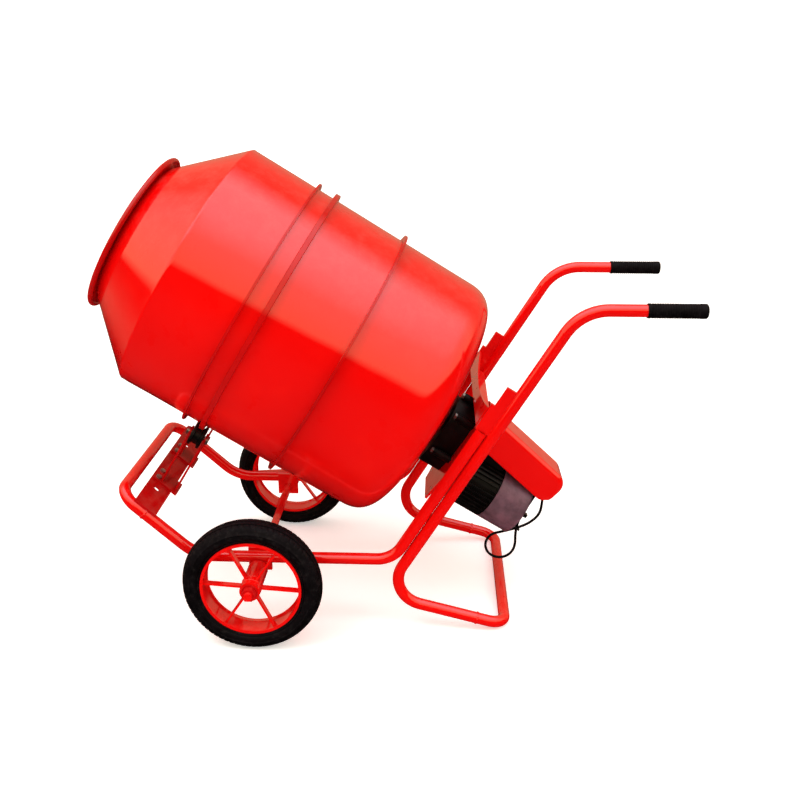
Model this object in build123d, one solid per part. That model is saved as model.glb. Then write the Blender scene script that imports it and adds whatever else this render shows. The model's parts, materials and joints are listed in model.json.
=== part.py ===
from build123d import *
from math import acos, atan2, cos, degrees, pi, radians, sin, sqrt, tan
import os

# A wheeled drum concrete mixer, in millimetres.
# X runs from the mouth of the drum to the push handles, Y across the machine, Z up.
# The model is drawn with X measured from the wheel axle, and moved as it is written
# so that the origin lies on the ground under the middle of the overall length.

# ---- overall ----
axle_to_back = 1008.0

# ---- wheels ----
wheel_radius = 165.0
wheel_track = 650.0
tyre_width = 62.0
rim_radius = 118.5
rim_width = 54.0
rim_wall = 3.0
spoke_count = 6
spoke_width = 14.0
spoke_thickness = 5.0
spoke_plane = 12.0
first_spoke_angle = -4.0
hub_radius = 24.0
hub_inner_end = 256.0
hub_outer_end = 362.0
axle_radius = 10.0
axle_half_length = 388.0
running_gap = 0.05
weld_gap = 0.02

# ---- frame tubes ----
tube_radius = 14.0
tube_wall = 2.5
side_offset = 238.0
rail_height = wheel_radius + axle_radius + tube_radius + 0.1
rail_rise_start = -150.0
crossbar_x = -325.0
crossbar_height = 350.0
bow_leg = 75.0
foot_x = 600.0
foot_slope = 14.5
foot_leg = 70.0
handle_height = 808.0
grip_radius = 16.5
grip_length = 130.0
grip_end_wall = 4.0

# ---- drum axis: a point on it above the frame, and its tilt above the ground ----
axis_x = 329.0
axis_z = 542.0
drum_tilt = 31.4

# ---- drum, radius and height along its axis, measured towards the mouth ----
drum_radius = 318.0
drum_wall = 3.0
shoulder_height = 596.0
mouth_height = 741.0
mouth_radius = 178.0
rim_bead_centre = 198.0
rim_bead_radius = 6.0
seam_height = 181.0
base_corner_height = -76.0
base_height = -121.0
base_disc_radius = 119.0
base_corner_radius = 73.0
ring_outer = 332.0
guide_ring_height = 421.0
track_ring_height = 372.0
thin_ring = 5.0
track_width = 12.0
blade_count = 3
blade_depth = 72.0
blade_length = 340.0
blade_height = 300.0
blade_slant = 24.0
blade_thickness = 5.0

# ---- posts, in the drum's own heights: negative is behind the drum ----
front_post_height = -180.5
rear_post_height = -209.5
front_post_top = 87.0
bracket_step = 156.0
bracket_top = 207.0
bracket_thickness = 10.0
strip_low = 95.0
strip_high = 140.0
strip_middle = 117.0
strip_thickness = 5.0
plate_front = -200.0
plate_back = -206.0

# ---- support rollers ----
roller_angle = 14.0
roller_flange_radius = 30.0
roller_root_radius = 23.0
roller_width = 32.0
roller_groove = 14.0
roller_pin_radius = 7.0
roller_gap = 0.3
cross_plate_top_edge = 36.0
cross_plate_low_edge = 98.0
cross_plate_thickness = 5.0
cross_hole_offset = 143.0
cross_hole_radius = 8.0
cross_hole_drop = 64.0
bracket_foot_half_width = 30.0
bracket_foot_ends = (40.0, 112.0)
bracket_sheet = 5.0
bracket_bolt_drop = 50.0
bracket_bolt_offset = 18.0

# ---- gears: module and teeth of each pair ----
fast_module = 1.25
motor_teeth = 12
counter_gear_teeth = 84
slow_module = 1.5
counter_pinion_teeth = 11
output_teeth = 66
pressure_angle = 25.0
tooth_addendum = 0.8
tooth_dedendum = 1.1
tooth_backlash = 0.15
motor_drop = 110.0

# ---- motor ----
motor_radius = 75.0
motor_core_radius = 66.0
motor_bore = 58.0
fin_count = 36
fin_thickness = 2.4
body_front = -228.0
body_back = -345.0
motor_end = -438.0

# ---- hood ----
hood_front = -222.0
hood_back = -497.0
hood_half_width = 55.0
hood_top = 83.0
hood_low = -7.0
hood_tilt = 11.5
hood_wall = 2.0
hood_corner = 34.0
hood_edge = 14.0

# ---- hood tabs ----
hood_tab_height = 58.0
hood_tab_offset = 65.0

# ---- lead: a single hanging loop between the gland and the plug ----
lead_radius = 3.5
gland_height = -10.0
lead_start = -352.0
loop_x = 599.0
loop_z = 106.0
loop_radius = 39.0
loop_corners = 6
loop_first_angle = 128.0
loop_turn = 44.0
loop_side_step = 9.0
plug_height = -18.0
plug_depth = -461.0
plug_side = 28.0
plug_approach = 22.0

tilt = radians(drum_tilt)
drum_place = Pos(axis_x, 0, axis_z) * Rot(0, drum_tilt - 90, 0)
rim_thickness = 4.0
rim_bead_height = mouth_height + weld_gap + rim_thickness
front_reach = rim_bead_centre * sin(tilt) + rim_bead_height * cos(tilt) + rim_bead_radius - axis_x
origin_shift = (front_reach - axle_to_back) / 2
os.makedirs("parts", exist_ok=True)


def write(name, *solids):
    """Writes one node from its separate solids."""
    moved = [Pos(origin_shift, 0, 0) * solid for solid in solids]
    export_step(Compound(children=moved) if len(moved) > 1 else moved[0], f"parts/{name}.step")


def drum_point(up, height):
    """The place (x, z) of a point given up the posts and along the drum's axis."""
    x = axis_x + up * sin(tilt) - height * cos(tilt)
    z = axis_z + up * cos(tilt) + height * sin(tilt)
    return x, z


def up_at(height_of_line, z):
    """How far up the posts a post line reaches the height z above the ground."""
    return (z - axis_z - height_of_line * sin(tilt)) / cos(tilt)


def tube(points, radii, outer=tube_radius, wall=tube_wall):
    """A bent round tube, hollow, through the given corner points."""
    path = FilletPolyline(*points, radius=radii) if radii else Line(*points)
    section = Plane(origin=path @ 0, z_dir=path % 0) * (Circle(outer) - Circle(outer - wall))
    return sweep(section, path=path)


def cylinder(radius, low, high, x=0.0, y=0.0):
    """A round bar along Z from low to high."""
    return Pos(x, y, low) * extrude(Circle(radius), amount=high - low)


def ring(outer, inner, low, high, x=0.0, y=0.0):
    """A round sleeve along Z from low to high."""
    return Pos(x, y, low) * extrude(Circle(outer) - Circle(inner), amount=high - low)


def revolved(outline):
    """A body of revolution about Z from a closed outline in radius and height."""
    return revolve(Plane.XZ * make_face(outline), axis=Axis.Z)


def block(low, high):
    """A box between two corners."""
    size = [b - a for a, b in zip(low, high)]
    centre = [(a + b) / 2 for a, b in zip(low, high)]
    return Pos(*centre) * Box(*size)


def closed(*points):
    return make_face(Polyline(*points, close=True))


def both_sides(solid):
    """A solid and its mirror image on the other side of the machine."""
    return solid, mirror(solid, about=Plane.XZ)


# ---- frame -------------------------------------------------------------------------------

def rail_points(y):
    """Corner points of one side rail: post top, foot of the post, rise, end of the rise."""
    top_x, top_z = drum_point(front_post_top, front_post_height)
    foot_x_at_rail, _ = drum_point(up_at(front_post_height, rail_height), front_post_height)
    rise = Vector(crossbar_x - rail_rise_start, 0, crossbar_height - rail_height).normalized()
    corner = Vector(crossbar_x, y, crossbar_height)
    end = corner - rise * bow_leg
    return [(top_x, y, top_z), (foot_x_at_rail, y, rail_height),
            (rail_rise_start, y, rail_height), end]


def side_rail(y):
    post_bend, front_bend = 70.0, 110.0
    return tube(rail_points(y), [post_bend, front_bend])


def front_bow():
    """The bar across the front with its two bent corners."""
    left_end, right_end = rail_points(-side_offset)[-1], rail_points(side_offset)[-1]
    corners = [(crossbar_x, -side_offset, crossbar_height), (crossbar_x, side_offset, crossbar_height)]
    return tube([left_end, *corners, right_end], [48.0, 48.0])


def foot_run_point(x, y):
    """A point of the leg's lower run, which slopes down to the foot bar."""
    return x, y, tube_radius + (foot_x - x) * tan(radians(foot_slope))


def leg_corner(y):
    """Where the line of the rear post meets the lower run of the leg."""
    slope = tan(radians(foot_slope))
    start_x, start_z = drum_point(0, rear_post_height)
    up = (tube_radius + (foot_x - start_x) * slope - start_z) / (cos(tilt) + slope * sin(tilt))
    x, z = drum_point(up, rear_post_height)
    return x, y, z


def handle(y):
    """Handle, rear post and leg of one side, bent from one tube."""
    bend_x, _ = drum_point(up_at(rear_post_height, handle_height), rear_post_height)
    tube_end = axle_to_back - grip_end_wall
    points = [(tube_end, y, handle_height), (bend_x, y, handle_height), leg_corner(y),
              foot_run_point(foot_x - foot_leg, y)]
    return tube(points, [110.0, 69.0])


def foot_bar():
    """The bar on the ground that joins the two legs."""
    ends = [foot_run_point(foot_x - foot_leg, y) for y in (-side_offset, side_offset)]
    corners = [(foot_x, y, tube_radius) for y in (-side_offset, side_offset)]
    return tube([ends[0], *corners, ends[1]], [42.0, 42.0])


def grip(y):
    """The moulded sleeve on a handle, closed at its end."""
    body = cylinder(grip_radius, 0, grip_length)
    body = fillet(body.edges().group_by(Axis.Z)[-1], 4.0)
    body -= cylinder(tube_radius + weld_gap, -1, grip_length - grip_end_wall + weld_gap)
    return Pos(axle_to_back - grip_length, y, handle_height) * Rot(0, 90, 0) * body


def post_bracket(y):
    """The flat upright that stands on the front post's end against the rear post."""
    front, back = -163.0, rear_post_height
    outline = closed((front_post_top, front), (bracket_step, front), (bracket_step, front - 9),
                     (bracket_top, front - 9), (bracket_top, back), (front_post_top, back))
    plate = Plane.XZ * outline
    plate = drum_place * Pos(0, bracket_thickness / 2, 0) * extrude(plate, amount=bracket_thickness)
    post = Plane(origin=(0, 0, rear_post_height), z_dir=(1, 0, 0)) * Circle(tube_radius + 0.1)
    post = drum_place * extrude(post, amount=2 * bracket_top, both=True)
    return Pos(0, y, 0) * (plate - post)


def cross_strip():
    """The arched plate between the posts, with a lip back to the mount plate."""
    half = side_offset - tube_radius - 0.2
    front = -163.0
    arch = ThreePointArc((half, strip_high), (0, strip_middle), (-half, strip_high))
    sides = Polyline((-half, strip_high), (-half, strip_low), (half, strip_low), (half, strip_high))
    face = Plane(origin=(0, 0, front), x_dir=(0, 1, 0), z_dir=(0, 0, -1)) * make_face(arch + sides)
    web = extrude(face, amount=strip_thickness)
    lip = block((strip_low - strip_thickness, -half, plate_back),
                (strip_low, half, front))
    return drum_place * (web + lip)


def mount_plate(holes):
    """The plate that carries the gearbox in front and the motor behind."""
    wing = side_offset - tube_radius - 0.6
    top = strip_low - strip_thickness
    outline = Polyline((top, -wing), (top, wing), (62, wing), (30, 104), (-98, 104), (-196, 62),
                       (-196, -62), (-98, -104), (30, -104), (62, -wing), close=True)
    plate = extrude(Pos(0, 0, plate_back) * make_face(outline), amount=plate_front - plate_back)
    for x, y, radius in holes:
        plate -= cylinder(radius, plate_back - 1, plate_front + 1, x, y)
    return drum_place * plate


# ---- wheels ------------------------------------------------------------------------------

def wheel_place(side):
    """Stands a part drawn along Z at a wheel, with +Z away from the machine."""
    return Pos(0, side * wheel_track / 2, wheel_radius) * Rot(-90 * side, 0, 0)


def tyre():
    half, shoulder = tyre_width / 2, 20.0
    inner = rim_radius + weld_gap
    outline = (Line((inner, -half + 6), (inner, half - 6))
               + ThreePointArc((inner, half - 6), (inner + 18, half), (wheel_radius - shoulder, half - 4))
               + ThreePointArc((wheel_radius - shoulder, half - 4), (wheel_radius, 0),
                               (wheel_radius - shoulder, -half + 4))
               + ThreePointArc((wheel_radius - shoulder, -half + 4), (inner + 18, -half),
                               (inner, -half + 6)))
    return revolved(outline)


def rim():
    """Rolled rim: a flat band with its edges turned in."""
    half = rim_width / 2
    outer, inner = rim_radius, rim_radius - rim_wall
    outline = Polyline((outer, -half), (outer, half), (inner - 4, half), (inner - 4, half - 3),
                       (inner, half - 5), (inner, 5 - half), (inner - 4, 3 - half), (inner - 4, -half),
                       close=True)
    return revolved(outline)


def spider():
    """Hub sleeve with the six flat spokes welded on."""
    plane_offset = wheel_track / 2
    low, high = hub_inner_end - plane_offset, hub_outer_end - plane_offset
    hub = ring(hub_radius, axle_radius + running_gap, low, high)
    reach = rim_radius - rim_wall
    body = hub
    for index in range(spoke_count):
        spoke = block((hub_radius - 2, -spoke_thickness / 2, spoke_plane - spoke_width / 2),
                      (reach, spoke_thickness / 2, spoke_plane + spoke_width / 2))
        body += Rot(0, 0, first_spoke_angle + index * 360 / spoke_count) * spoke
    return body & ring(reach - 0.1, axle_radius + running_gap, low, high)


def axle():
    bar = Plane.XZ * Circle(axle_radius)
    return Pos(0, 0, wheel_radius) * extrude(bar, amount=axle_half_length, both=True)


def axle_bracket():
    """The plate that hangs the axle from a rail, beside the rail's inner face."""
    low, high = side_offset - tube_radius - 8.0, side_offset - tube_radius - 0.2
    plate = Pos(0, 10) * Rectangle(56, 60) - Circle(axle_radius + weld_gap)
    return Pos(0, high, wheel_radius) * extrude(Plane.XZ * plate, amount=high - low)


def axle_nut():
    """The domed nut on the axle end, with its washer face."""
    start = hub_outer_end + 1.0
    washer = ring(19.0, axle_radius + weld_gap, start, start + 3)
    nut = Pos(0, 0, start + 3) * extrude(RegularPolygon(17.0, 6) - Circle(axle_radius + weld_gap), amount=14.0)
    return Pos(0, 0, wheel_radius) * Rot(-90, 0, 0) * (washer + nut)


# ---- front roller support ----------------------------------------------------------------

rise_angle = atan2(crossbar_height - rail_height, rail_rise_start - crossbar_x)
# In this place X runs down the slope of the rails from the crossbar, and Z stands square to it.
slope_place = Pos(crossbar_x, 0, crossbar_height) * Rot(0, degrees(rise_angle), 0)
cross_plate_low = tube_radius + weld_gap
cross_plate_high = cross_plate_low + cross_plate_thickness
foot_low = cross_plate_high + weld_gap
foot_high = foot_low + bracket_sheet
roller_centre_radius = ring_outer + roller_gap + roller_root_radius


def roller_position(side):
    angle = radians(roller_angle)
    return -roller_centre_radius * cos(angle), side * roller_centre_radius * sin(angle)


def bracket_bolt_places():
    """Where the bolts of both roller brackets stand on the sloping plate."""
    middles = [roller_position(side)[1] for side in (-1, 1)]
    return [(bracket_bolt_drop, y + dy) for y in middles for dy in (-bracket_bolt_offset, bracket_bolt_offset)]


def cross_plate():
    """The plate that lies across both rails behind the front bar."""
    half = side_offset + 8.0
    plate = block((cross_plate_top_edge, -half, cross_plate_low),
                  (cross_plate_low_edge, half, cross_plate_high))
    for y in (-cross_hole_offset, cross_hole_offset):
        plate -= cylinder(cross_hole_radius, 0, 2 * cross_plate_high, cross_hole_drop, y)
    for x, y in bracket_bolt_places():
        plate -= cylinder(4.1, 0, 2 * cross_plate_high, x, y)
    return slope_place * plate


def roller_bracket(side):
    """A foot on the cross plate and two cheeks square to the drum's axis."""
    x, y = roller_position(side)
    near, far = bracket_foot_ends
    foot = block((near, y - bracket_foot_half_width, foot_low),
                 (far, y + bracket_foot_half_width, foot_high))
    for bolt_x, bolt_y in bracket_bolt_places():
        foot -= cylinder(4.1, 0, 2 * foot_high, bolt_x, bolt_y)
    reach = 230.0
    outline = closed((x - reach, -24), (x, -16), (x, 16), (x - reach, 24)) + Pos(x, 0) * Circle(16)
    inner = roller_width / 2 + 2
    cheeks = []
    for low in (track_ring_height + inner, track_ring_height - inner - bracket_sheet):
        cheek = drum_place * Pos(0, y, low) * extrude(outline, amount=bracket_sheet)
        cheeks.append(cheek - slope_place * block((-200, -300, -300), (400, 300, foot_low + 1)))
    body = slope_place * foot + cheeks
    hole = cylinder(roller_pin_radius + weld_gap, track_ring_height - 40, track_ring_height + 40, x, y)
    return body - drum_place * hole


def bracket_bolt(x, y):
    head = Pos(x, y, foot_high + weld_gap) * extrude(RegularPolygon(7.0, 6), amount=5.5)
    shank = cylinder(4.0, cross_plate_low - 12, foot_high + 1, x, y)
    nut = Pos(x, y, cross_plate_low - 7) * extrude(RegularPolygon(7.0, 6), amount=6.5)
    return slope_place * (head + shank + nut)


def roller(side):
    """A grooved roller whose flanges keep the track ring in its groove."""
    x, y = roller_position(side)
    half, groove = roller_width / 2, roller_groove / 2
    bore = roller_pin_radius + running_gap
    outline = Polyline((bore, -half), (roller_flange_radius - 2, -half), (roller_flange_radius, 2 - half),
                       (roller_flange_radius, -groove - 2), (roller_root_radius, -groove),
                       (roller_root_radius, groove), (roller_flange_radius, groove + 2),
                       (roller_flange_radius, half - 2), (roller_flange_radius - 2, half), (bore, half),
                       close=True)
    return drum_place * Pos(x, y, track_ring_height) * revolved(outline)


def roller_pin(side):
    x, y = roller_position(side)
    reach = roller_width / 2 + 2 + bracket_sheet
    pin = cylinder(roller_pin_radius, -reach - 6, reach + 6)
    pin += cylinder(11.0, -reach - 7, -reach - weld_gap) + cylinder(11.0, reach + weld_gap, reach + 7)
    return drum_place * Pos(x, y, track_ring_height) * pin


# ---- drum --------------------------------------------------------------------------------

def drum_cone():
    """The cone from the shoulder to the mouth."""
    slope = atan2(drum_radius - mouth_radius, mouth_height - shoulder_height)
    inset = drum_wall / cos(slope)
    outline = Polyline((drum_radius, shoulder_height), (mouth_radius, mouth_height),
                       (mouth_radius - inset, mouth_height), (drum_radius - inset, shoulder_height),
                       close=True)
    return revolved(outline)


def drum_barrel():
    return ring(drum_radius, drum_radius - drum_wall, seam_height, shoulder_height - weld_gap)


def drum_base():
    """The dished end, with its large rounded corner and flat middle."""
    outer = FilletPolyline((drum_radius, seam_height - weld_gap), (drum_radius, base_corner_height),
                           (base_disc_radius, base_height), (16, base_height),
                           radius=[base_corner_radius, 20.0])
    inner = FilletPolyline((drum_radius - drum_wall, seam_height - weld_gap),
                           (drum_radius - drum_wall, base_corner_height + drum_wall),
                           (base_disc_radius, base_height + drum_wall), (16, base_height + drum_wall),
                           radius=[base_corner_radius - drum_wall, 20.0])
    ends = Line(outer @ 0, inner @ 0) + Line(outer @ 1, inner @ 1)
    body = revolved(outer + inner + ends)
    for x, y in flange_bolt_places():
        body -= cylinder(4.1, base_height - 1, base_height + drum_wall + 1, x, y)
    return body


def mouth_rim():
    """The flat flange round the mouth with its rolled edge."""
    flange = ring(rim_bead_centre, mouth_radius - 6, mouth_height + weld_gap, rim_bead_height)
    bead = Pos(0, 0, rim_bead_height) * Torus(rim_bead_centre, rim_bead_radius)
    return flange + bead


def hoop(height, width, outer):
    return ring(outer, drum_radius + weld_gap, height - width / 2, height + width / 2)


def track_ring():
    """The ring that runs in the rollers, with a small bead down its middle."""
    body = hoop(track_ring_height, track_width, ring_outer)
    return chamfer(body.edges().group_by(Axis.Z)[0] + body.edges().group_by(Axis.Z)[-1], 1.0)


def seam_hoop():
    """The turned-out flange where the dished end meets the barrel."""
    return hoop(seam_height, thin_ring, ring_outer + 2)


def mixing_blade(angle):
    """A slanted paddle welded to the wall of the barrel."""
    wall = drum_radius - drum_wall - 0.1
    paddle = block((wall - blade_depth, -blade_thickness / 2, -blade_length / 2),
                   (wall + 20, blade_thickness / 2, blade_length / 2))
    paddle = Pos(0, 0, blade_height) * Rot(blade_slant, 0, 0) * paddle
    return drum_place * Rot(0, 0, angle) * (paddle & cylinder(wall, 0, shoulder_height))


def flange_bolt_places():
    return [(loc.position.X, loc.position.Y) for loc in PolarLocations(40.0, 6)]


def drum_shaft():
    """The shaft with its flange, which carries the drum's closed end."""
    flange_back = base_height - 8
    flange = cylinder(56.0, flange_back, base_height - weld_gap)
    for x, y in flange_bolt_places():
        flange -= cylinder(4.1, flange_back - 1, base_height + 1, x, y)
    journal = cylinder(15.0, bearing_back - 1, flange_back)
    nose = cylinder(12.0, output_back - 3, bearing_back - 1)
    return drum_place * (flange + journal + nose)


def flange_bolt(x, y):
    head = Pos(x, y, base_height + drum_wall + weld_gap) * extrude(RegularPolygon(7.5, 6), amount=5.0)
    shank = cylinder(4.0, base_height - 8, base_height + drum_wall + 1, x, y)
    return drum_place * (head + shank)


# ---- gears -------------------------------------------------------------------------------

bearing_front = -133.0
bearing_width = 13.0
bearing_back = bearing_front - 2 * bearing_width - 0.5
output_front = -162.5
output_back = -176.5
fast_front = -181.0
fast_back = -191.0
cover_front = -194.0
housing_front = -140.0
counter_bore = 6.0

motor_x = -motor_drop
slow_distance = slow_module * (counter_pinion_teeth + output_teeth) / 2
fast_distance = fast_module * (motor_teeth + counter_gear_teeth) / 2
counter_x = (fast_distance**2 - slow_distance**2 - motor_drop**2) / (2 * motor_drop)
counter_y = sqrt(slow_distance**2 - counter_x**2)


def involute(base, radius):
    """Polar angle of an involute of the base circle where it reaches the radius."""
    slope = acos(min(1.0, base / radius))
    return tan(slope) - slope


def gear_face(module, teeth, tooth_angle):
    """A spur gear's outline with a tooth centred at the given angle, in degrees."""
    pitch = module * teeth / 2
    base = pitch * cos(radians(pressure_angle))
    tip = pitch + tooth_addendum * module
    root = pitch - tooth_dedendum * module
    half_tooth = (pi * module / 2 - tooth_backlash) / (2 * pitch)
    start = max(base, root)

    def flank(radius, side, centre):
        angle = centre + side * (half_tooth + involute(base, pitch) - involute(base, radius))
        return radius * cos(angle), radius * sin(angle)

    def root_point(side, centre):
        angle = centre + side * (half_tooth + involute(base, pitch) - involute(base, start))
        return root * cos(angle), root * sin(angle)

    edges = []
    first = None
    last = None
    for index in range(teeth):
        centre = radians(tooth_angle) + index * 2 * pi / teeth
        rising = [flank(r, -1, centre) for r in (start, (start + tip) / 2, tip)]
        falling = [flank(r, 1, centre) for r in (tip, (start + tip) / 2, start)]
        low, high = root_point(-1, centre), root_point(1, centre)
        if last is None:
            first = low
        else:
            edges.append(Line(last, low))
        if start > root:
            edges.append(Line(low, rising[0]))
        edges.append(ThreePointArc(*rising))
        edges.append(Line(rising[-1], falling[0]))
        edges.append(ThreePointArc(*falling))
        if start > root:
            edges.append(Line(falling[-1], high))
        last = high if start > root else falling[-1]
        if index == 0 and start <= root:
            first = rising[0]
    edges.append(Line(last, first))
    return make_face(edges)


toward_counter = degrees(atan2(counter_y, counter_x))
counter_to_motor = degrees(atan2(-counter_y, motor_x - counter_x))


def gap_facing(angle, teeth):
    """The tooth angle that puts a gap at the given angle."""
    return angle + 180 / teeth


def output_gear():
    face = gear_face(slow_module, output_teeth, toward_counter) - Circle(12.0 + weld_gap)
    return drum_place * extrude(Pos(0, 0, output_back) * face, amount=output_front - output_back)


def countershaft():
    """The shaft between the two gear pairs, with the small pinion cut on it."""
    pinion_angle = gap_facing(toward_counter + 180, counter_pinion_teeth)
    face = gear_face(slow_module, counter_pinion_teeth, pinion_angle)
    low, high = output_back - 1, output_front + 1
    body = Pos(0, 0, low) * extrude(face, amount=high - low)
    body += cylinder(counter_bore, cover_front - 4.5, housing_front - 3)
    body += cylinder(8.0, fast_back, low)
    return drum_place * Pos(counter_x, counter_y, 0) * body


def counter_gear():
    face = gear_face(fast_module, counter_gear_teeth, counter_to_motor) - Circle(8.0 + weld_gap)
    body = extrude(Pos(0, 0, fast_back) * face, amount=fast_front - fast_back)
    return drum_place * Pos(counter_x, counter_y, 0) * body


def motor_pinion():
    """The small pinion cut on the nose of the motor's shaft, drawn on the motor's axis."""
    angle = gap_facing(counter_to_motor + 180, motor_teeth)
    low, high = fast_back - 1, fast_front + 1
    return Pos(0, 0, low) * extrude(gear_face(fast_module, motor_teeth, angle), amount=high - low)


# ---- gearbox -----------------------------------------------------------------------------

def housing_outline(inset):
    circles = [Circle(62.0 - inset), Pos(-58, 18) * Circle(67.0 - inset),
               Pos(motor_x, 0) * Circle(24.0 - inset)]
    edges = ShapeList([edge for circle in circles for edge in circle.edges()])
    return make_hull(edges)


def lug_places():
    """Bolt places round the gearbox: up, to both sides, and low down."""
    around_top = [(70 * cos(radians(a)), 70 * sin(radians(a))) for a in (0, 62, -62)]
    around_low = [(-58 + 75 * cos(radians(a)), 18 + 75 * sin(radians(a))) for a in (75, 145, 256)]
    return around_top + around_low


def gearbox_housing():
    back = cover_front + weld_gap
    body = Pos(0, 0, back) * extrude(housing_outline(0), amount=housing_front - back)
    body += cylinder(34.0, bearing_back - 1, bearing_front + 1)
    for x, y in lug_places():
        body += cylinder(10.0, back, -150.0, x, y)
    wall = 6.0
    core = Pos(0, 0, back) * extrude(housing_outline(wall), amount=housing_front - 7 - back)
    core -= cylinder(34.0, bearing_back - 1, bearing_front + 1)
    body -= core
    body += cylinder(12.0, -161.0, housing_front - 1, counter_x, counter_y)
    body -= cylinder(27.5 + weld_gap, bearing_back - weld_gap, bearing_front + 2)
    body -= cylinder(17.0, bearing_back - 2, bearing_front + 2)
    body -= cylinder(9.0 + weld_gap, -162.0, housing_front - 2, counter_x, counter_y)
    for x, y in lug_places():
        body -= cylinder(4.1, back - 1, -149.0, x, y)
    return drum_place * body


def gearbox_cover():
    low, high = plate_front + weld_gap, cover_front
    body = Pos(0, 0, low) * extrude(housing_outline(0), amount=high - low)
    for x, y in lug_places():
        body += cylinder(10.0, low, high, x, y)
    body -= cylinder(9.0 + weld_gap, low + 1, high + 1, counter_x, counter_y)
    body -= cylinder(12.0, low - 1, high + 1, motor_x, 0)
    for x, y in lug_places():
        body -= cylinder(4.1, low - 1, high + 1, x, y)
    return drum_place * body


def output_bearing(index):
    front = bearing_front - index * (bearing_width + 0.25)
    return drum_place * ring(27.5, 15.0 + running_gap, front - bearing_width, front)


def counter_bush(low, high):
    return drum_place * ring(9.0, counter_bore + running_gap, low, high, counter_x, counter_y)


def gearbox_bolt(x, y):
    shank = cylinder(4.0, plate_back, -150.0, x, y)
    head = Pos(x, y, -150.0 + weld_gap) * extrude(RegularPolygon(7.5, 6), amount=5.5)
    washer = cylinder(4.0, -150.5, -149.0, x, y)
    return drum_place * (shank + head + washer)


# ---- motor -------------------------------------------------------------------------------

def motor_bolt_places():
    return [(motor_x + loc.position.X, loc.position.Y) for loc in PolarLocations(79.0, 4, 45)]


def motor_front_bell():
    back = body_front + weld_gap
    low = plate_back - weld_gap
    body = cylinder(88.0, low - 8, low) + cylinder(motor_core_radius + 3, back, low)
    body -= cylinder(20.0 + weld_gap, back - 1, -210.0)
    body -= cylinder(12.0, back - 1, low + 1)
    for loc in PolarLocations(79.0, 4, 45):
        body -= cylinder(4.1, low - 9, low + 1, loc.position.X, loc.position.Y)
    return drum_place * Pos(motor_x, 0, 0) * body


def motor_body():
    """The finned shell of the motor."""
    section = Circle(motor_core_radius)
    for index in range(fin_count):
        fin = Pos((motor_core_radius + motor_radius) / 2 - 1, 0) * Rectangle(
            motor_radius - motor_core_radius + 2, fin_thickness)
        section += Rot(0, 0, index * 360 / fin_count) * fin
    section -= Circle(motor_bore)
    shell = Pos(0, 0, body_back) * extrude(section, amount=body_front - body_back)
    return drum_place * Pos(motor_x, 0, 0) * shell


def motor_rear_bell():
    high, low = body_back - weld_gap, -359.0
    body = cylinder(motor_core_radius + 3, low, high)
    body -= cylinder(20.0 + weld_gap, -357.0, high + 1) + cylinder(12.0, low - 1, high + 1)
    return drum_place * Pos(motor_x, 0, 0) * body


def motor_bearing(low):
    return drum_place * Pos(motor_x, 0, 0) * ring(20.0, 8.0 + running_gap, low, low + 12)


def stator():
    return drum_place * Pos(motor_x, 0, 0) * ring(motor_bore - weld_gap, 40.0, -333.0, -240.0)


def rotor_core():
    return drum_place * Pos(motor_x, 0, 0) * ring(39.4, 10.0 + weld_gap, -333.0, -240.0)


def rotor_shaft():
    body = cylinder(10.0, -344.0, -229.0) + cylinder(8.0, -362.0, -196.0)
    body += cylinder(4.0, -196.0, fast_front + 2) + cylinder(7.0, -406.0, -360.0)
    body += motor_pinion()
    return drum_place * Pos(motor_x, 0, 0) * body


def fan():
    """Cooling fan: a hub with flat radial blades."""
    body = ring(16.0, 7.0 + weld_gap, -404.0, -368.0) + ring(52.0, 16.0, -372.0, -369.0)
    for index in range(8):
        vane = block((14, -1.5, -402.0), (58, 1.5, -370.0))
        body += Rot(0, 0, index * 45) * vane
    return drum_place * Pos(motor_x, 0, 0) * body


def fan_cover():
    """A cup over the fan, with slots in its end for the air."""
    wall = 2.0
    front = -347.0
    body = cylinder(motor_radius, motor_end, front)
    body = fillet(body.edges().group_by(Axis.Z)[0], 8.0)
    body -= cylinder(motor_radius - wall, motor_end + wall, front + 1)
    for index in range(12):
        slot = block((16, -3, motor_end - 1), (54, 3, motor_end + wall + 1))
        body -= Rot(0, 0, index * 30) * slot
    return drum_place * Pos(motor_x, 0, 0) * body


def motor_bolt(x, y):
    low = plate_back - 8 - weld_gap
    shank = cylinder(4.0, low - 0.5, plate_front, x, y)
    head = Pos(x, y, low - 5.5 - weld_gap) * extrude(RegularPolygon(7.0, 6), amount=5.5)
    return drum_place * (shank + head)


def terminal_box():
    """The box on top of the motor that holds the connections and the capacitor."""
    body = block((-42, -30, -338), (6, 30, -248))
    body = fillet(body.edges().filter_by(Axis.X), 8.0)
    body -= cylinder(motor_radius + 0.1, -400, -200, motor_x, 0)
    core = block((-22, -27, -335), (3, 27, -251))
    return drum_place * (body - core)


def cable_gland():
    """The gland in the back of the terminal box, which the lead leaves."""
    start = -338.0 - weld_gap
    body = Pos(0, 0, start - 8) * extrude(RegularPolygon(11.0, 6), amount=8.0)
    body += cylinder(8.0, -367.0, start - 7)
    body -= cylinder(lead_radius + 0.05, -368.0, lead_start + weld_gap)
    return drum_place * Pos(gland_height, 0, 0) * body


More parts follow.
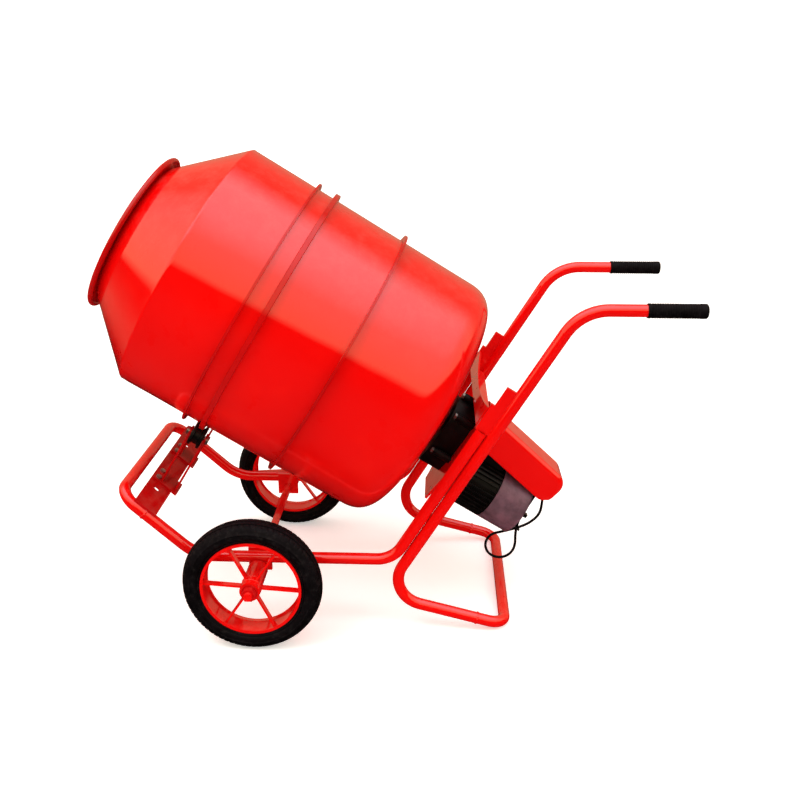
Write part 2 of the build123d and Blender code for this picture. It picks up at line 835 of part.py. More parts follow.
def motor_hood():
    """A folded sheet hood over the motor, open below, with rounded back corners and two tabs."""
    side = Polyline((hood_top, hood_front), (hood_top, hood_back), (hood_low, hood_back),
                    (hood_low, hood_front), close=True)
    face = Plane.XZ * make_face(side)
    outer = Pos(0, hood_half_width, 0) * extrude(face, amount=2 * hood_half_width)
    outer = fillet(outer.edges().filter_by(Axis.Y).group_by(Axis.Z)[0], hood_corner)
    outer = fillet(outer.edges().filter_by(Axis.Z).group_by(Axis.X)[-1], hood_edge)
    core = block((hood_low - 40, -hood_half_width + hood_wall, hood_back + hood_wall),
                 (hood_top - hood_wall, hood_half_width - hood_wall, hood_front + 10))
    inner_back = core.edges().filter_by(Axis.Y).group_by(Axis.Z)[0].group_by(Axis.X)[-1]
    core = fillet(inner_back, hood_corner - hood_wall)
    core = fillet(core.edges().filter_by(Axis.Z).group_by(Axis.X)[-1], hood_edge - hood_wall)
    pivot = Pos(hood_top, 0, hood_front) * Rot(0, hood_tilt, 0) * Pos(-hood_top, 0, -hood_front)
    body = pivot * (outer - core)
    back_of_plate = plate_back - weld_gap
    body -= block((-200, -200, back_of_plate), (200, 200, 0))
    body -= cylinder(motor_radius + 1.0, -410, -200, motor_x, 0)
    for side in (-1, 1):
        tab = block((hood_tab_height - 12, side * (hood_tab_offset - 11) - 11, back_of_plate - 2.5),
                    (hood_tab_height + 12, side * (hood_tab_offset - 1) + 11, back_of_plate))
        inside = block((0, -hood_half_width + hood_wall, -300), (100, hood_half_width - hood_wall, 0))
        tab = tab - inside - cylinder(3.1, -300, 0, hood_tab_height, side * hood_tab_offset)
        body += tab
    return drum_place * body


def hood_bolt(side):
    """A small bolt through a tab of the hood and the mount plate."""
    tab_back = plate_back - 2.5 - 2 * weld_gap
    head = Pos(hood_tab_height, side * hood_tab_offset, tab_back - 4) * extrude(RegularPolygon(5.5, 6), amount=4.0)
    shank = cylinder(3.0, tab_back - 1, plate_front + 3, hood_tab_height, side * hood_tab_offset)
    return drum_place * (head + shank)


# ---- lead --------------------------------------------------------------------------------

def loop_points():
    """Corners of the hanging loop, which steps sideways as it goes round."""
    reach = loop_radius / cos(radians(loop_turn / 2))
    points = []
    for index in range(loop_corners):
        angle = radians(loop_first_angle + index * loop_turn)
        side = loop_side_step * index / (loop_corners - 1)
        points.append((loop_x + reach * cos(angle), side, loop_z + reach * sin(angle)))
    return points


def lead_points():
    """The lead's route: out of the gland, down from the hood, round the loop, up to the plug."""
    start_x, start_z = drum_point(gland_height, lead_start)
    hood_x, hood_z = drum_point(gland_height, lead_start - 46)
    plug_x, plug_z = drum_point(plug_height, plug_depth)
    turn_x, turn_z = drum_point(plug_height - plug_approach, plug_depth)
    down = [(start_x, 0, start_z), (hood_x, 0, hood_z), (692, 0, 296), (704, 0, 263), (704, 0, 231),
            (699, 0, 199), (674, 0, 173), (641, 0, 158), (604, 0, 147)]
    up = [(638, loop_side_step, 146), (650, loop_side_step, 190), (672, 14, 222), (690, 21, 250),
          (turn_x, plug_side, turn_z), (plug_x, plug_side, plug_z)]
    return down + loop_points() + up


def lead_radii():
    """Each bend as large as its two straight runs allow."""
    radii = []
    route = lead_points()
    for before, here, after in zip(route, route[1:], route[2:]):
        coming, going = Vector(*here) - Vector(*before), Vector(*after) - Vector(*here)
        turn = radians(coming.get_angle(going))
        radii.append(0.45 * min(coming.length, going.length) / tan(turn / 2))
    return radii


def lead_path():
    return FilletPolyline(*lead_points(), radius=lead_radii())


def lead_run():
    path = lead_path()
    section = Plane(origin=path @ 0, z_dir=path % 0) * Circle(lead_radius)
    return sweep(section, path=path)


def plug():
    """The moulded plug, tucked up under the hood, drawn along Z from the end of the lead."""
    neck = Cone(6.0, 14.0, 12.0, align=(Align.CENTER, Align.CENTER, Align.MIN))
    body = neck + cylinder(15.0, 12.0, 30.0)
    for offset in (-7.0, 7.0):
        body += cylinder(2.4, 29.0, 42.0, 0, offset)
    x, z = drum_point(plug_height, plug_depth)
    return Pos(x, plug_side, z) * Rot(0, drum_tilt, 0) * Pos(0, 0, weld_gap) * body


def crossing_tie():
    """The strap where the lead crosses itself above the loop."""
    band = Rectangle(16.0, 21.5) - Rectangle(13.5, 19.0)
    strap = extrude(band, amount=2.2, both=True)
    return Pos(641.0, loop_side_step / 2, 158.4) * Rot(0, 42.6, 0) * strap


def cover_clip():
    """The clip that holds the lead to the end of the fan cover."""
    low, high = motor_end - 34.0, motor_end - weld_gap
    body = block((-131, 4.0, low), (-122, 19.0, high))
    return drum_place * body - lead_sleeve()


def plug_clip():
    """The clip between the plug and the side of the hood."""
    body = block((-3, plug_side + 13, plug_depth - 6), (9, hood_half_width - hood_wall - weld_gap, plug_depth + 6))
    return drum_place * (body - cylinder_along_up(15.0 + weld_gap))


def cylinder_along_up(radius):
    """A bar along the drum's up direction round the plug's axis."""
    return Pos(-60, plug_side, plug_depth) * Rot(0, 90, 0) * cylinder(radius, 0, 120)


def lead_sleeve():
    """The lead's own shape a little larger, for cutting the clips that hold it."""
    path = lead_path()
    section = Plane(origin=path @ 0, z_dir=path % 0) * Circle(lead_radius + weld_gap)
    return sweep(section, path=path)


print("bend radii of the lead", [round(r, 1) for r in lead_radii()])
for side, name in ((-1, "left"), (1, "right")):
    write(f"frame_rail_{name}", side_rail(side * side_offset))
    write(f"handle_{name}", handle(side * side_offset))
    write(f"grip_{name}", grip(side * side_offset))
    write(f"tyre_{name}", wheel_place(side) * tyre())
    write(f"rim_{name}", wheel_place(side) * rim())
    write(f"spider_{name}", wheel_place(side) * spider())
    write(f"roller_{name}", roller(side))
write("front_bow", front_bow())
write("foot_bar", foot_bar())
write("post_brackets", post_bracket(-side_offset), post_bracket(side_offset))
write("cross_strip", cross_strip())
plate_holes = [(x, y, 4.1) for x, y in lug_places() + motor_bolt_places()]
plate_holes.append((motor_x, 0, 20.0))
plate_holes += [(hood_tab_height, side * hood_tab_offset, 3.1) for side in (-1, 1)]
write("mount_plate", mount_plate(plate_holes))
write("axle", axle())
write("axle_brackets", *both_sides(axle_bracket()))
write("axle_nuts", *both_sides(axle_nut()))
write("cross_plate", cross_plate())
write("roller_brackets", roller_bracket(-1), roller_bracket(1))
write("roller_pins", roller_pin(-1), roller_pin(1))
write("bracket_bolts", *[bracket_bolt(x, y) for x, y in bracket_bolt_places()])
write("drum_cone", drum_place * drum_cone())
write("drum_barrel", drum_place * drum_barrel())
write("drum_base", drum_place * drum_base())
write("mouth_rim", drum_place * mouth_rim())
write("guide_ring", drum_place * hoop(guide_ring_height, thin_ring, ring_outer))
write("track_ring", drum_place * track_ring())
write("seam_ring", drum_place * seam_hoop())
write("mixing_blades", *[mixing_blade(60 + 120 * index) for index in range(blade_count)])
write("drum_shaft", drum_shaft())
write("flange_bolts", *[flange_bolt(x, y) for x, y in flange_bolt_places()])
write("output_gear", output_gear())
write("countershaft", countershaft())
write("counter_gear", counter_gear())
write("gearbox_housing", gearbox_housing())
write("gearbox_cover", gearbox_cover())
write("output_bearings", output_bearing(0), output_bearing(1))
write("counter_bushes", counter_bush(-161.0, housing_front - 3), counter_bush(plate_front + 2, cover_front))
write("gearbox_bolts", *[gearbox_bolt(x, y) for x, y in lug_places()])
write("motor_front_bell", motor_front_bell())
write("motor_body", motor_body())
write("motor_rear_bell", motor_rear_bell())
write("motor_bearings", motor_bearing(-222.5), motor_bearing(-357.0))
write("stator", stator())
write("rotor_core", rotor_core())
write("rotor_shaft", rotor_shaft())
write("fan", fan())
write("fan_cover", fan_cover())
motor_fixings = [motor_bolt(x, y) for x, y in motor_bolt_places()]
write("motor_bolts", *motor_fixings, hood_bolt(-1), hood_bolt(1))
write("terminal_box", terminal_box())
write("cable_gland", cable_gland())
write("motor_hood", motor_hood())
run = lead_run()
full_length = pi * lead_radius**2 * lead_path().length
print("length of the lead", round(lead_path().length), "volume share", round(run.volume / full_length, 4))
write("lead_run", run)
write("plug", plug())
write("cable_ties", crossing_tie(), cover_clip(), plug_clip())
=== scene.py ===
import json
import math

import bmesh
import bpy
from mathutils import Matrix, Vector, noise


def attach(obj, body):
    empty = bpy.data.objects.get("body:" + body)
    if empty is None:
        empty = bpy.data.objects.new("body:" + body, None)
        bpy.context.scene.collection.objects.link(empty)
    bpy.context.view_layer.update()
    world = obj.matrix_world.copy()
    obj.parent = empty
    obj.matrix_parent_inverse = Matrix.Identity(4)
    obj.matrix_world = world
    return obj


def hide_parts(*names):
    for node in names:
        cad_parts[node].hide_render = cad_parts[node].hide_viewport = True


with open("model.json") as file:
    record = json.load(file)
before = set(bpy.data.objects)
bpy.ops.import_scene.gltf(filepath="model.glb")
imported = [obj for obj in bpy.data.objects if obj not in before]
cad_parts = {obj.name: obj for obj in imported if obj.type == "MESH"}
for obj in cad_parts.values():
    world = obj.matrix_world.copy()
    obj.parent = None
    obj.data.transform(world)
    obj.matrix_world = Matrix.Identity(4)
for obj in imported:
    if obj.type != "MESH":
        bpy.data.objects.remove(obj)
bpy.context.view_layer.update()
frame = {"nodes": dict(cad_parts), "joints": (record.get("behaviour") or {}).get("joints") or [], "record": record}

NODES = frame["nodes"]
JOINTS = {joint["name"]: joint for joint in frame["joints"]}
MM = 0.001

# ---- sizes that repeat the CAD, in millimetres ---------------------------------------

WHEEL_RADIUS = 165.0
HALF_TRACK = 325.0
SPOKE_PLANE = 12.0
HALF_FRAME = 238.0
HANDLE_HEIGHT = 808.0
GRIP_START = 878.0
CROSSBAR = (-325.0, 350.0)
BOW_LEG = 75.0
FOOT_JOINT = 530.0
FOOT_TUBE_RADIUS = 14.0
FOOT_LEG = 70.0

# ---- places --------------------------------------------------------------------------

drum_origin = Vector(JOINTS["drum_spin"]["pos_m"])
drum_axis = Vector(JOINTS["drum_spin"]["axis"]).normalized()
drum_up = Vector((drum_axis.z, 0, -drum_axis.x))
AXLE_X = JOINTS["wheel_left_spin"]["pos_m"][0]
DRUM = Matrix((
    (drum_up.x, 0, drum_axis.x, drum_origin.x),
    (0, 1, 0, 0),
    (drum_up.z, 0, drum_axis.z, drum_origin.z),
    (0, 0, 0, 1),
))


def from_axle(x, y, z):
    """A point in millimetres, with X measured from the wheel axle, as a place in metres."""
    return Vector((x * MM + AXLE_X, y * MM, z * MM))


def drum_point(up, side, along):
    """A point in millimetres up the posts, across, and along the drum's axis."""
    return DRUM @ Vector((up * MM, side * MM, along * MM))


# ---- camera --------------------------------------------------------------------------

CAMERA_PLACE = (425.2, -2233.7, 1298.1)
CAMERA_TILT_DOWN = 19.377
CAMERA_TURN_LEFT = 2.388

camera = bpy.data.objects.new("camera", bpy.data.cameras.new("camera"))
camera.data.sensor_width = 36.0
camera.data.lens = 42.12
camera.location = from_axle(*CAMERA_PLACE)
camera.rotation_euler = (math.radians(90 - CAMERA_TILT_DOWN), 0, math.radians(CAMERA_TURN_LEFT))
camera.data.clip_end = 50.0
bpy.context.scene.collection.objects.link(camera)
bpy.context.scene.camera = camera


# ---- materials -----------------------------------------------------------------------

def ramp_node(tree, value, stops):
    """Maps a value in a node tree through stops: (position, grey or colour)."""
    node = tree.nodes.new("ShaderNodeValToRGB")
    elements = node.color_ramp.elements
    for index, (position, colour) in enumerate(stops):
        element = elements[index] if index < 2 else elements.new(position)
        element.position = position
        element.color = (*colour, 1) if isinstance(colour, tuple) else (colour, colour, colour, 1)
    tree.links.new(value, node.inputs["Fac"])
    return node.outputs["Color"]


class Shader:
    """A node material: a principled shader whose inputs are fed by noise in object space."""

    def __init__(self, name):
        self.material = bpy.data.materials.new(name)
        self.material.use_nodes = True
        self.tree = self.material.node_tree
        self.surface = self.tree.nodes["Principled BSDF"]
        self.place = self.tree.nodes.new("ShaderNodeTexCoord").outputs["Object"]
        self.height = None

    def link(self, source, target):
        self.tree.links.new(source, target)

    def set(self, **values):
        for key, value in values.items():
            self.surface.inputs[key.replace("_", " ")].default_value = value

    def scaled(self, scale):
        """The object's coordinates stretched by a different amount along each axis."""
        mapping = self.tree.nodes.new("ShaderNodeMapping")
        mapping.inputs["Scale"].default_value = scale
        self.link(self.place, mapping.inputs["Vector"])
        return mapping.outputs["Vector"]

    def noise(self, scale, detail=4.0, rough=0.55, stretch=(1, 1, 1)):
        node = self.tree.nodes.new("ShaderNodeTexNoise")
        node.inputs["Scale"].default_value = scale
        node.inputs["Detail"].default_value = detail
        node.inputs["Roughness"].default_value = rough
        self.link(self.scaled(stretch), node.inputs["Vector"])
        return node.outputs["Fac"]

    def ramp(self, value, stops):
        return ramp_node(self.tree, value, stops)

    def mix(self, share, low, high):
        """Mixes two colours, either of which may be a socket or three numbers."""
        node = self.tree.nodes.new("ShaderNodeMix")
        node.data_type = "RGBA"
        self.link(share, node.inputs["Factor"])
        for socket, value in ((node.inputs[6], low), (node.inputs[7], high)):
            if isinstance(value, tuple):
                socket.default_value = (*value, 1)
            else:
                self.link(value, socket)
        return node.outputs[2]

    def math(self, operation, first, second):
        node = self.tree.nodes.new("ShaderNodeMath")
        node.operation = operation
        for socket, value in ((node.inputs[0], first), (node.inputs[1], second)):
            if isinstance(value, (int, float)):
                socket.default_value = value
            else:
                self.link(value, socket)
        return node.outputs[0]

    def facing_up(self, start, end):
        """0 on walls and undersides, 1 on surfaces that face up."""
        geometry = self.tree.nodes.new("ShaderNodeNewGeometry")
        split = self.tree.nodes.new("ShaderNodeSeparateXYZ")
        self.link(geometry.outputs["Normal"], split.inputs[0])
        return self.ramp(split.outputs["Z"], [(start, 0.0), (end, 1.0)])

    def bump(self, value, depth):
        """Adds relief of the given depth in metres."""
        node = self.tree.nodes.new("ShaderNodeBump")
        node.inputs["Strength"].default_value = 1.0
        node.inputs["Distance"].default_value = depth
        self.link(value, node.inputs["Height"])
        if self.height:
            self.link(self.height, node.inputs["Normal"])
        self.height = node.outputs["Normal"]
        self.link(self.height, self.surface.inputs["Normal"])

    def colour(self, value):
        self.link(value, self.surface.inputs["Base Color"])

    def roughness(self, value):
        self.link(value, self.surface.inputs["Roughness"])


def gloss_paint(name, main, deep, light, chip_share, gloss=1.0):
    """Sprayed gloss paint: orange peel, uneven film, dust on top, a few chips and scuffs."""
    s = Shader(name)
    film = s.mix(s.ramp(s.noise(2.2, 3), [(0.35, 0.0), (0.7, 1.0)]), deep, main)
    film = s.mix(s.ramp(s.noise(9, 5), [(0.55, 0.0), (0.85, 0.35)]), film, light)
    dust = s.math("MULTIPLY", s.facing_up(0.35, 1.0), s.ramp(s.noise(26, 8, 0.65), [(0.45, 0.0), (0.8, 0.1)]))
    film = s.mix(dust, film, (0.62, 0.5, 0.42))
    chips = s.ramp(s.noise(75, 6, 0.7), [(chip_share, 0.0), (chip_share + 0.012, 1.0)])
    film = s.mix(chips, film, (0.09, 0.055, 0.045))
    s.colour(film)
    smudge = s.ramp(s.noise(14, 6), [(0.3, 0.24), (0.75, 0.42)])
    scuff = s.ramp(s.noise(60, 8, 0.7, (1, 1, 0.15)), [(0.6, 0.0), (0.8, 0.25)])
    s.roughness(s.math("ADD", smudge, s.math("ADD", scuff, s.math("MULTIPLY", chips, 0.4))))
    s.set(Specular_IOR_Level=0.04, Coat_Weight=gloss, Coat_Roughness=0.04, Coat_IOR=1.75)
    s.bump(s.noise(420, 2), 0.000008)
    s.bump(s.noise(30, 3), 0.00010)
    s.bump(s.math("SUBTRACT", 1.0, chips), 0.00012)
    return s.material


def black_paint(name):
    """Satin black over a rough casting, in uneven dark patches and dusty on top."""
    s = Shader(name)
    patches = s.ramp(s.noise(40, 6), [(0.4, 0.0), (0.75, 1.0)])
    base = s.mix(patches, (0.0030, 0.0024, 0.0028), (0.0090, 0.0070, 0.0075))
    dust = s.math("MULTIPLY", s.facing_up(0.2, 1.0), s.ramp(s.noise(60, 8, 0.7), [(0.45, 0.0), (0.8, 0.22)]))
    base = s.mix(dust, base, (0.13, 0.09, 0.08))
    s.colour(base)
    s.roughness(s.ramp(s.noise(80, 5), [(0.3, 0.34), (0.8, 0.62)]))
    s.set(Specular_IOR_Level=0.2)
    s.bump(s.noise(600, 4, 0.7), 0.00012)
    s.bump(s.noise(110, 3), 0.0002)
    return s.material


def painted_cowl(name):
    """Grey-violet satin enamel with oily stains."""
    s = Shader(name)
    patches = s.ramp(s.noise(35, 6), [(0.35, 0.0), (0.75, 1.0)])
    base = s.mix(patches, (0.19, 0.085, 0.125), (0.085, 0.038, 0.058))
    stain = s.ramp(s.noise(14, 7, 0.65), [(0.5, 0.0), (0.72, 0.7)])
    s.colour(s.mix(stain, base, (0.020, 0.012, 0.016)))
    s.roughness(s.ramp(s.noise(90, 5), [(0.3, 0.32), (0.8, 0.58)]))
    s.bump(s.noise(500, 4, 0.7), 0.00006)
    return s.material


def rubber(name, dust_share, grain):
    """Moulded rubber: fine grain, pale dust in scattered patches, dull but not flat."""
    s = Shader(name)
    patches = s.ramp(s.noise(30, 6), [(0.35, 0.0), (0.8, 1.0)])
    base = s.mix(patches, (0.0018, 0.0008, 0.0018), (0.0055, 0.0030, 0.0050))
    dust = s.ramp(s.noise(95, 9, 0.72), [(0.52, 0.0), (0.8, dust_share)])
    s.colour(s.mix(dust, base, (0.09, 0.075, 0.07)))
    s.roughness(s.ramp(s.noise(50, 6), [(0.3, 0.5), (0.8, 0.8)]))
    s.set(Specular_IOR_Level=0.12)
    s.bump(s.noise(grain, 3, 0.6), 0.00010)
    return s.material


def bare_steel(name, main, dark, stretch):
    """Turned or drawn steel with fine lines, oil stains and a little rust."""
    s = Shader(name)
    base = s.mix(s.ramp(s.noise(55, 6), [(0.4, 0.0), (0.75, 1.0)]), main, dark)
    rust = s.ramp(s.noise(130, 8, 0.7), [(0.62, 0.0), (0.74, 0.55)])
    s.colour(s.mix(rust, base, (0.16, 0.06, 0.025)))
    s.roughness(s.ramp(s.noise(90, 6, 0.6, stretch), [(0.3, 0.25), (0.8, 0.55)]))
    s.set(Metallic=0.9)
    s.bump(s.noise(700, 2, 0.5, stretch), 0.00006)
    return s.material


def moulded_plastic(name):
    s = Shader(name)
    patches = s.ramp(s.noise(25, 5), [(0.4, 0.0), (0.8, 1.0)])
    base = s.mix(patches, (0.0030, 0.0022, 0.0028), (0.0090, 0.0070, 0.0080))
    dust = s.math("MULTIPLY", s.facing_up(0.3, 1.0), s.ramp(s.noise(80, 8, 0.7), [(0.45, 0.0), (0.8, 0.2)]))
    s.colour(s.mix(dust, base, (0.22, 0.19, 0.17)))
    s.roughness(s.ramp(s.noise(70, 5), [(0.3, 0.38), (0.8, 0.58)]))
    s.set(Specular_IOR_Level=0.25)
    s.bump(s.noise(900, 3, 0.6), 0.00008)
    return s.material


def drum_lining(name):
    """The inside of the drum: paint worn thin and streaked with dried cement."""
    s = Shader(name)
    base = s.mix(s.ramp(s.noise(6, 6), [(0.4, 0.0), (0.7, 1.0)]), (0.50, 0.012, 0.006), (0.28, 0.012, 0.008))
    film = s.ramp(s.noise(18, 9, 0.68), [(0.55, 0.0), (0.68, 0.8)])
    s.colour(s.mix(film, base, (0.26, 0.22, 0.20)))
    s.roughness(s.ramp(s.noise(40, 6), [(0.3, 0.4), (0.8, 0.8)]))
    s.bump(film, 0.0006)
    return s.material


RED_MAIN = (0.93, 0.0022, 0.0014)
RED_DEEP = (0.82, 0.0014, 0.0012)
RED_LIGHT = (0.95, 0.0070, 0.0020)

MATERIALS = {
    "red_paint": gloss_paint("red_paint", RED_MAIN, RED_DEEP, RED_LIGHT, 0.735),
    "black_paint": black_paint("black_paint"),
    "black_rubber": rubber("black_rubber", 0.12, 1300),
    "tyre_rubber": rubber("tyre_rubber", 0.22, 800),
    "bright_steel": bare_steel("bright_steel", (0.42, 0.41, 0.40), (0.22, 0.21, 0.20), (1, 0.1, 1)),
    "bronze": bare_steel("bronze", (0.50, 0.34, 0.14), (0.30, 0.19, 0.08), (1, 1, 0.1)),
    "black_plastic": moulded_plastic("black_plastic"),
}
COWL_GREY = painted_cowl("cowl_grey")
# Darker red for the hoops and the mouth rim: painted shade, standing in for the shadow along their edges.
HOOP_SHADE_RED = (0.62, 0.003, 0.003)
HOOP_SHADE_RED_DEEP = (0.45, 0.002, 0.002)
HOOP_SHADED_PAINT = gloss_paint("hoop_painted_shade", HOOP_SHADE_RED, HOOP_SHADE_RED_DEEP, RED_DEEP, 0.75, 0.5)
DRUM_PAINT = gloss_paint("drum_paint", RED_MAIN, RED_DEEP, RED_LIGHT, 0.79)
# Darker red for the cross plate and the roller brackets: painted shade, standing in for the drum's shadow over
# them.
BRACKET_SHADE_RED = (0.62, 0.003, 0.004)
BRACKET_SHADE_RED_DEEP = (0.42, 0.002, 0.003)
BRACKET_SHADED_PAINT = gloss_paint("bracket_painted_shade", BRACKET_SHADE_RED, BRACKET_SHADE_RED_DEEP, RED_DEEP, 0.74, 0.2)
LINING = drum_lining("drum_lining")

for part in frame["record"]["subparts"]:
    node = NODES[part["node"]]
    node.data.materials.clear()
    node.data.materials.append(MATERIALS[part["material_slot"]])
# The cross plate and the roller brackets take the darker red, which is painted shade.
for name in ("cross_plate", "roller_brackets"):
    NODES[name].data.materials[0] = BRACKET_SHADED_PAINT
# The hoops and the mouth rim take the darker red, which is painted shade.
for name in ("guide_ring", "track_ring", "seam_ring", "mouth_rim"):
    NODES[name].data.materials[0] = HOOP_SHADED_PAINT
NODES["fan_cover"].data.materials[0] = COWL_GREY
# The axle nuts take the same darker red: their red overspray is real, and its darkness is painted shade.
NODES["axle_nuts"].data.materials[0] = BRACKET_SHADED_PAINT


# ---- mesh tools ----------------------------------------------------------------------

def new_object(name, build, slot, body, material=None, smooth_angle=35.0):
    """Makes a mesh piece from a function that fills a bmesh, and puts it on its body."""
    mesh = bpy.data.meshes.new(name)
    made = bmesh.new()
    build(made)
    bmesh.ops.recalc_face_normals(made, faces=made.faces)
    for face in made.faces:
        face.smooth = True
    for edge in made.edges:
        if len(edge.link_faces) == 2 and edge.calc_face_angle(0.0) > math.radians(smooth_angle):
            edge.smooth = False
    made.to_mesh(mesh)
    made.free()
    piece = bpy.data.objects.new(name, mesh)
    bpy.context.scene.collection.objects.link(piece)
    mesh.materials.append(material or MATERIALS[slot])
    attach(piece, body)
    return piece


def sweep_ring(made, rings, close_path):
    """Joins rings of the same number of points with quads."""
    rows = [[made.verts.new(point) for point in ring] for ring in rings]
    count = len(rows[0])
    last = len(rows) if close_path else len(rows) - 1
    for i in range(last):
        near, far = rows[i], rows[(i + 1) % len(rows)]
        for j in range(count):
            k = (j + 1) % count
            made.faces.new((near[j], near[k], far[k], far[j]))
    return rows


def lathe(made, place, profile, steps, shape=None):
    """Turns a closed outline (radius, height) in metres about the place's Z axis."""
    rings = []
    for i in range(steps):
        angle = 2 * math.pi * i / steps
        ring = []
        for index, (radius, height) in enumerate(profile):
            if shape:
                radius, height = shape(index, radius, height, angle)
            ring.append(place @ Vector((radius * math.cos(angle), radius * math.sin(angle), height)))
        rings.append(ring)
    sweep_ring(made, rings, True)


def arc(centre, radius, start, end, count):
    """Points of an arc in an outline, angles in degrees."""
    points = []
    for i in range(count + 1):
        angle = math.radians(start + (end - start) * i / count)
        points.append((centre[0] + radius * math.cos(angle), centre[1] + radius * math.sin(angle)))
    return points


def rounded(points, radii, count=6):
    """An open outline with its inner corners rounded."""
    out = [Vector(points[0])]
    for i in range(1, len(points) - 1):
        before, here, after = (Vector(points[j]) for j in (i - 1, i, i + 1))
        coming, going = (here - before).normalized(), (after - here).normalized()
        turn = coming.angle(going)
        cut = radii[i - 1] * math.tan(turn / 2)
        first, last = here - coming * cut, here + going * cut
        for k in range(count + 1):
            t = k / count
            out.append((1 - t)**2 * first + 2 * t * (1 - t) * here + t * t * last)
    out.append(Vector(points[-1]))
    return out


def along_axis(origin, axis):
    """A place whose Z axis points along the given axis."""
    return Matrix.Translation(origin) @ Vector((0, 0, 1)).rotation_difference(axis).to_matrix().to_4x4()


# ---- lead ----------------------------------------------------------------------------

LEAD_DIAMETER = 0.007
LEAD_START = (-10.0, 0.0, -352.0)
LEAD_HOOD = (-10.0, 0.0, -398.0)
PLUG_PLACE = (-18.0, 28.0, -461.0)
PLUG_APPROACH = (-40.0, 28.0, -461.0)
LEAD_DOWN = [(692, 0, 296), (704, 0, 263), (704, 0, 231), (699, 0, 199), (674, 0, 173), (641, 0, 158),
             (604, 0, 147)]
LEAD_UP = [(638, 9, 146), (650, 9, 190), (672, 14, 222), (690, 21, 250)]
LOOP_MIDDLE = (599.0, 106.0)
LOOP_RADIUS = 39.0
LOOP_CORNERS = 6
LOOP_FIRST = 128.0
LOOP_TURN = 44.0
LOOP_STEP = 9.0


def lead_points():
    points = [drum_point(*LEAD_START), drum_point(*LEAD_HOOD)]
    points += [from_axle(*point) for point in LEAD_DOWN]
    reach = LOOP_RADIUS / math.cos(math.radians(LOOP_TURN / 2))
    for i in range(LOOP_CORNERS):
        angle = math.radians(LOOP_FIRST + i * LOOP_TURN)
        points.append(from_axle(LOOP_MIDDLE[0] + reach * math.cos(angle), LOOP_STEP * i / (LOOP_CORNERS - 1),
                                LOOP_MIDDLE[1] + reach * math.sin(angle)))
    points += [from_axle(*point) for point in LEAD_UP]
    return points + [drum_point(*PLUG_APPROACH), drum_point(*PLUG_PLACE)]


def make_lead():
    curve = bpy.data.curves.new("lead", "CURVE")
    curve.dimensions = "3D"
    spline = curve.splines.new("NURBS")
    points = lead_points()
    spline.points.add(len(points) - 1)
    for target, point in zip(spline.points, points):
        target.co = (*point, 1)
    spline.order_u = 3
    spline.use_endpoint_u = True
    spline.resolution_u = 12
    curve.bevel_depth = LEAD_DIAMETER / 2
    curve.bevel_resolution = 5
    curve.use_fill_caps = True
    curve.materials.append(MATERIALS["black_rubber"])
    lead = bpy.data.objects.new("lead", curve)
    bpy.context.scene.collection.objects.link(lead)
    return lead


lead = make_lead()
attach(lead, "chassis")
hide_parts("lead_run")


RELIEF_LENGTH = 0.030
RELIEF_RIBS = 6
RELIEF_WIDE = 0.0074
RELIEF_TAPER = 0.0030
RELIEF_GROOVE = 0.0012
RELIEF_START = (-10.0, 0.0, -366.5)


def strain_relief(made):
    """A ribbed taper over the lead where it leaves the gland."""
    bore = LEAD_DIAMETER / 2 + 0.0001
    step = RELIEF_LENGTH / RELIEF_RIBS
    outline = [(bore, 0.0)]
    for i in range(RELIEF_RIBS):
        start = RELIEF_LENGTH * i / RELIEF_RIBS
        wide = RELIEF_WIDE - RELIEF_TAPER * i / RELIEF_RIBS
        narrow = wide - RELIEF_GROOVE
        outline += [(wide, start), (wide, start + step * 0.55)]
        outline += [(narrow, start + step * 0.65), (narrow, start + step * 0.95)]
    outline += [(bore, RELIEF_LENGTH)]
    lathe(made, along_axis(drum_point(*RELIEF_START), -drum_axis), outline, 32)


strain = new_object("strain_relief", strain_relief, "black_rubber", "chassis")


# ---- drum ----------------------------------------------------------------------------

DRUM_RADIUS = 0.318
WALL = 0.003
SHOULDER = 0.596
MOUTH = (0.178, 0.741)
CONE_WALL_INSET = 0.0042
BASE_CORNER = -0.076
BASE_BACK = -0.121
BASE_DISC = 0.119
SHAFT_HOLE = 0.0165
DRUM_BENDS = (0.020, 0.073, 0.016)
MESH_STEP = 0.014
DRUM_TURN_STEPS = 288
SEAM_ANGLE = math.radians(205)
SEAM_HEIGHT = 0.0009
SEAM_WIDTH = 0.004
SHOULDER_BEAD_HEIGHT = 0.0012
SHOULDER_BEAD_WIDTH = 0.0035
FLAT_RADIUS = 0.19
FLAT_FADE = 0.06


def drum_side(inset, cone_inset):
    """The drum's outline from the shaft hole round to the mouth, moved inwards by its wall."""
    wide = DRUM_RADIUS - inset
    corners = [(SHAFT_HOLE, BASE_BACK + inset), (BASE_DISC, BASE_BACK + inset), (wide, BASE_CORNER + inset),
               (wide, SHOULDER), (MOUTH[0] - cone_inset, MOUTH[1])]
    disc_bend, base_bend, shoulder_bend = DRUM_BENDS
    points = rounded(corners, [disc_bend, base_bend - inset, shoulder_bend], 14)
    out = []
    for near, far in zip(points, points[1:]):
        parts = max(1, round((far - near).length / MESH_STEP))
        out += [near.lerp(far, k / parts) for k in range(parts)]
    return out + [points[-1]]


def sheet_wave(radius, height, angle):
    """The slight unevenness of rolled and spun sheet, and the barrel's lengthwise seam, in metres."""
    spot = Vector((math.cos(angle) * 1.3, math.sin(angle) * 1.3, height * 3.2))
    wave = 0.0007 * noise.noise(spot) + 0.0003 * noise.noise(spot * 3.1)
    strip = math.remainder(angle - SEAM_ANGLE, 2 * math.pi) * radius
    if 0 < height < SHOULDER - 0.01:
        wave += SEAM_HEIGHT * math.exp(-(strip / SEAM_WIDTH)**2)
    fade = min(1.0, max(0.0, (radius - FLAT_RADIUS) / FLAT_FADE))
    return wave * fade


